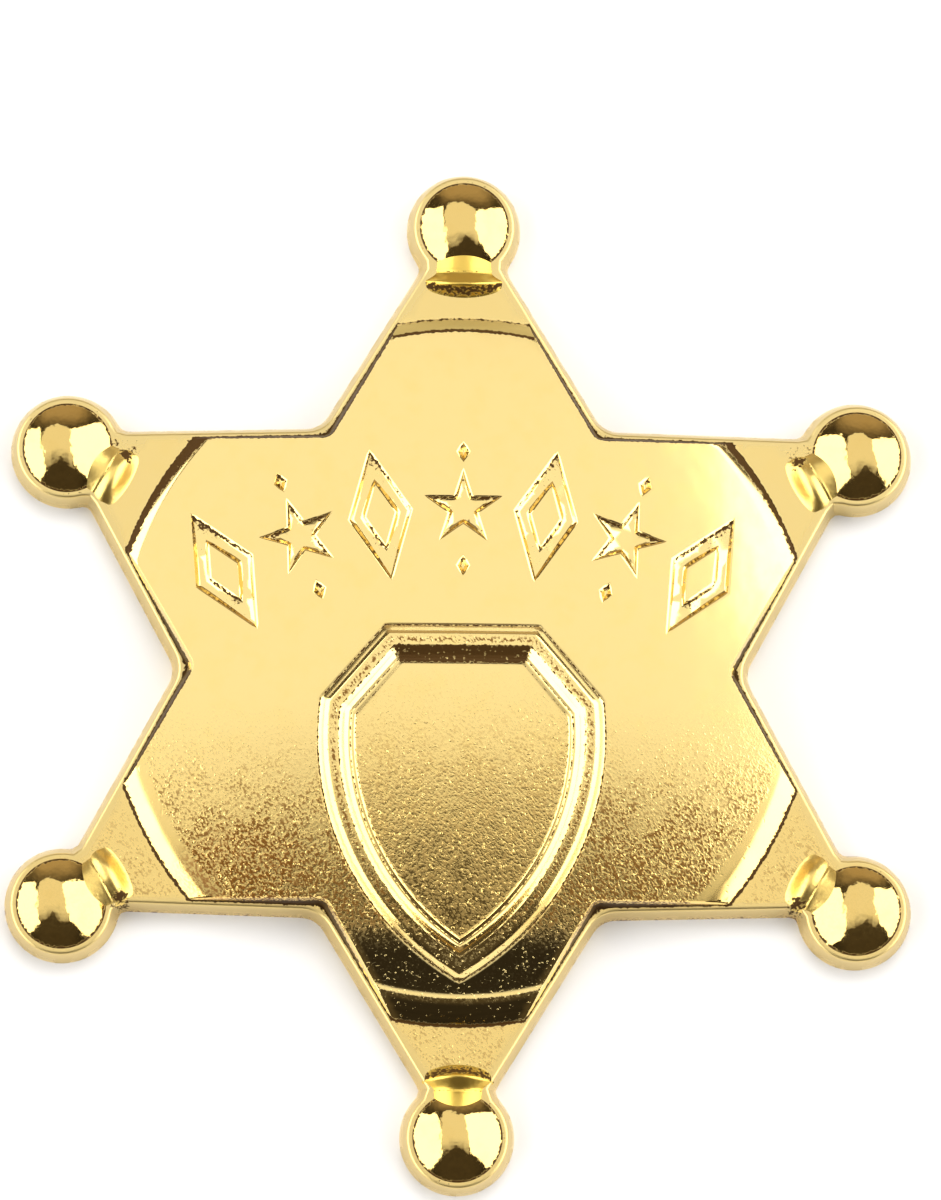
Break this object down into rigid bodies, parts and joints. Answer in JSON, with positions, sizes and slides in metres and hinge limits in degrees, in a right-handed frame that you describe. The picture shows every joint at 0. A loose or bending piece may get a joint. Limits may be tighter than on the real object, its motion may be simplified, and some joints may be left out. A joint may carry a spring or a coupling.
{
  "type": "star badge",
  "caption": "Gold-coloured star badge with ball tips, a domed centre with a raised shield under an arc of sunk ornament, a hollow back and a brooch pin.",
  "frame": {"origin": "middle of the badge's back, in the plane of its rim, which is the surface that it rests on", "axes": "+Z out of the badge's face, +Y towards its top tip, +X to the right as the badge is read"},
  "size_m": [0.0616, 0.07, 0.0067],
  "materials": {
    "gold_casting": "gold-plated casting, polished on its ball tips and lightly grained over its domed face",
    "pin_steel": "plain plated steel"
  },
  "bodies": {
    "root": {"star_casting": "gold_casting", "brooch_pin": "pin_steel"}
  },
  "joints": []
}
